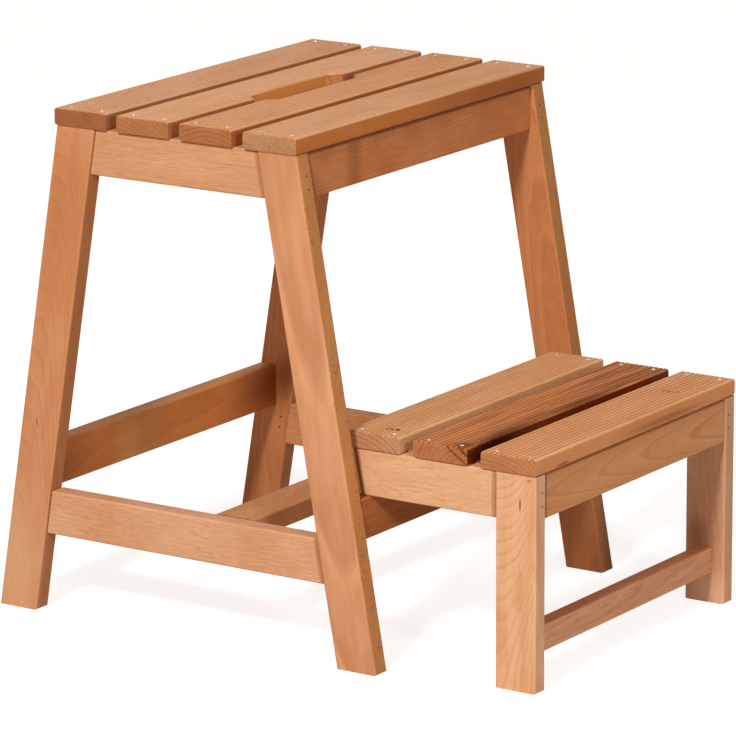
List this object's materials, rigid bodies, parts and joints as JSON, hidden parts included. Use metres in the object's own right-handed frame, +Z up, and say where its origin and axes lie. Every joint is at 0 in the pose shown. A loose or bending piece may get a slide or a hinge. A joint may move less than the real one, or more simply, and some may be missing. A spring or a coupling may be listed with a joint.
{
  "type": "folding step stool",
  "caption": "Slatted wooden stool on splayed legs with a lower step that swings up and over on side bolts and is stored upside down inside the frame.",
  "frame": {"origin": "on the floor, under the middle of the whole object with its step down", "axes": "+X from the stool towards its step, +Y to the right hand of someone climbing up, +Z up"},
  "size_m": [0.5456, 0.397, 0.46],
  "materials": {
    "beech": "oiled steamed beech, satin",
    "heart_beech": "oiled red heartwood of beech, satin",
    "bright_steel": "zinc-plated",
    "dark_steel": "plain steel",
    "nylon": "natural nylon"
  },
  "bodies": {
    "stool": {"front_leg_left": "beech", "front_leg_right": "beech", "rear_leg_left": "beech", "rear_leg_right": "beech", "side_apron_left": "beech", "side_apron_right": "beech", "front_apron": "beech", "rear_apron": "beech", "side_stretcher_left": "beech", "side_stretcher_right": "beech", "front_cross_rail": "beech", "rear_cross_rail": "beech", "rest_rail": "beech", "seat_slat_1": "beech", "seat_slat_2": "beech", "seat_slat_3": "beech", "seat_slat_4": "beech", "pivot_bolt_left": "dark_steel", "pivot_bolt_right": "dark_steel", "pivot_spacer_left": "nylon", "pivot_spacer_right": "nylon", "insert_nut_left": "bright_steel", "insert_nut_right": "bright_steel", "seat_screw_1_left_back": "bright_steel", "seat_screw_1_left_front": "bright_steel", "seat_screw_1_right_back": "bright_steel", "seat_screw_1_right_front": "bright_steel", "seat_screw_2_left_back": "bright_steel", "seat_screw_2_left_front": "bright_steel", "seat_screw_2_right_back": "bright_steel", "seat_screw_2_right_front": "bright_steel", "seat_screw_3_left_back": "bright_steel", "seat_screw_3_left_front": "bright_steel", "seat_screw_3_right_back": "bright_steel", "seat_screw_3_right_front": "bright_steel", "seat_screw_4_left_back": "bright_steel", "seat_screw_4_left_front": "bright_steel", "seat_screw_4_right_back": "bright_steel", "seat_screw_4_right_front": "bright_steel"},
    "step": {"step_leg_left": "beech", "step_leg_right": "beech", "step_rail_left": "beech", "step_rail_right": "beech", "step_apron": "beech", "step_stretcher": "beech", "step_slat_1": "beech", "step_slat_2": "heart_beech", "step_slat_3": "beech", "step_screw_1_left_back": "bright_steel", "step_screw_1_left_front": "bright_steel", "step_screw_1_right_back": "bright_steel", "step_screw_1_right_front": "bright_steel", "step_screw_2_left_back": "bright_steel", "step_screw_2_left_front": "bright_steel", "step_screw_2_right_back": "bright_steel", "step_screw_2_right_front": "bright_steel", "step_screw_3_left_back": "bright_steel", "step_screw_3_left_front": "bright_steel", "step_screw_3_right_back": "bright_steel", "step_screw_3_right_front": "bright_steel"}
  },
  "joints": [
    {"name": "step_fold", "type": "hinge", "parent": "stool", "child": "step", "pos_m": [0.08374, 0, 0.159], "axis": [0, -1, 0], "range_deg": [0, 180]}
  ]
}
